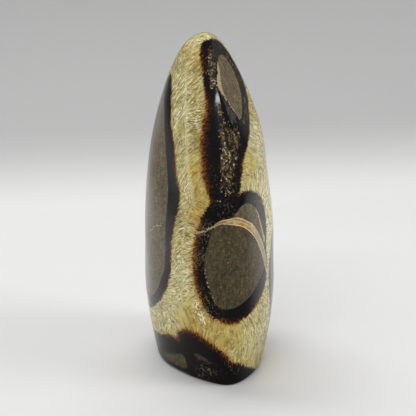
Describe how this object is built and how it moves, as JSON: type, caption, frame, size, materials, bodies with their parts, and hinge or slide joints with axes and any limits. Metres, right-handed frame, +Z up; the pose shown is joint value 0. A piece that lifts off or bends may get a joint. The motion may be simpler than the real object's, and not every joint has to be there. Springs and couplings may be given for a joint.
{
  "type": "septarian nodule",
  "caption": "Septarian nodule polished all over as a free-standing, flame-shaped stone: thin from side to side, deep front to back, with a blunt keel and a flat sawn foot.",
  "frame": {"origin": "on the flat sawn foot, under the middle of the stone's box", "axes": "+Z up along the height of the stone, +X across its thin way, -Y towards the blunt keel that faces the viewer"},
  "size_m": [0.0532, 0.0822, 0.136],
  "materials": {
    "polished_stone": "high polish over golden calcite, near-black aragonite rims and brown-grey mudstone"
  },
  "bodies": {
    "root": {"nodule": "polished_stone"}
  },
  "joints": []
}
